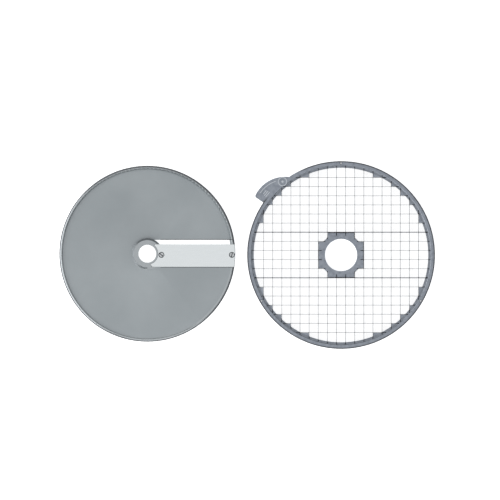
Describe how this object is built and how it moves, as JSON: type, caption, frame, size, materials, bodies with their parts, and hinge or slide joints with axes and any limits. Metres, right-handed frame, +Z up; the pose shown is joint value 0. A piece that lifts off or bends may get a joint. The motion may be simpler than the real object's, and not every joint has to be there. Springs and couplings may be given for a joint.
{
  "type": "vegetable dicer",
  "caption": "Dicing kit for a motor-driven vegetable cutter: a ramped slicing disc with a screwed-on knife, beside a round grid of crossed blades with a hub and a lifting lug.",
  "frame": {"origin": "middle of the kit as it lies, on the surface it lies on", "axes": "+Z up, the cutting side; +X from the slicing disc to the dicing grid; the disc turns about its own axis, parallel to +Z"},
  "size_m": [0.412, 0.206, 0.018],
  "materials": {
    "cast_aluminium": "tumbled casting",
    "disc_aluminium": "satin machined",
    "blade_steel": "ground",
    "bar_steel": "ground",
    "knife_steel": "polished",
    "screw_steel": "turned",
    "bush_steel": "turned",
    "pin_steel": "ground"
  },
  "bodies": {
    "grid": {"column_blade_01": "blade_steel", "column_blade_02": "blade_steel", "column_blade_03": "blade_steel", "column_blade_04": "blade_steel", "column_blade_05": "blade_steel", "column_blade_06": "blade_steel", "column_blade_07": "blade_steel", "column_blade_08_back": "blade_steel", "column_blade_08_front": "blade_steel", "column_blade_09_back": "blade_steel", "column_blade_09_front": "blade_steel", "column_blade_10_back": "blade_steel", "column_blade_10_front": "blade_steel", "column_blade_11_back": "blade_steel", "column_blade_11_front": "blade_steel", "column_blade_12": "blade_steel", "column_blade_13": "blade_steel", "column_blade_14": "blade_steel", "column_blade_15": "blade_steel", "column_blade_16": "blade_steel", "column_blade_17": "blade_steel", "column_blade_18": "blade_steel", "grid_hub": "cast_aluminium", "grid_ring": "cast_aluminium", "hub_bar_back": "bar_steel", "hub_bar_front": "bar_steel", "ring_dowel_pins": "pin_steel", "row_blade_01": "blade_steel", "row_blade_02": "blade_steel", "row_blade_03": "blade_steel", "row_blade_04": "blade_steel", "row_blade_05": "blade_steel", "row_blade_06": "blade_steel", "row_blade_08_left": "blade_steel", "row_blade_08_right": "blade_steel", "row_blade_09_left": "blade_steel", "row_blade_09_right": "blade_steel", "row_blade_10_left": "blade_steel", "row_blade_10_right": "blade_steel", "row_blade_11_left": "blade_steel", "row_blade_11_right": "blade_steel", "row_blade_13": "blade_steel", "row_blade_14": "blade_steel", "row_blade_15": "blade_steel", "row_blade_16": "blade_steel", "row_blade_17": "blade_steel", "row_blade_18": "blade_steel"},
    "disc": {"disc_body": "disc_aluminium", "drive_bush": "bush_steel"},
    "knife": {"slicing_knife": "knife_steel"},
    "screw_inner": {"knife_screw_inner": "screw_steel"},
    "screw_outer": {"knife_screw_outer": "screw_steel"}
  },
  "joints": [
    {"name": "disc_spin", "type": "hinge", "parent": "grid", "child": "disc", "pos_m": [-0.1095, 0.0014, 0], "axis": [0, 0, 1], "continuous": true},
    {"name": "knife_lift", "type": "slide", "parent": "disc", "child": "knife", "axis": [0, 0, 1], "range_m": [0, 0.02]},
    {"name": "knife_screw_inner_out", "type": "slide", "parent": "knife", "child": "screw_inner", "axis": [0, 0, 1], "range_m": [0, 0.012]},
    {"name": "knife_screw_outer_out", "type": "slide", "parent": "knife", "child": "screw_outer", "axis": [0, 0, 1], "range_m": [0, 0.012]}
  ]
}
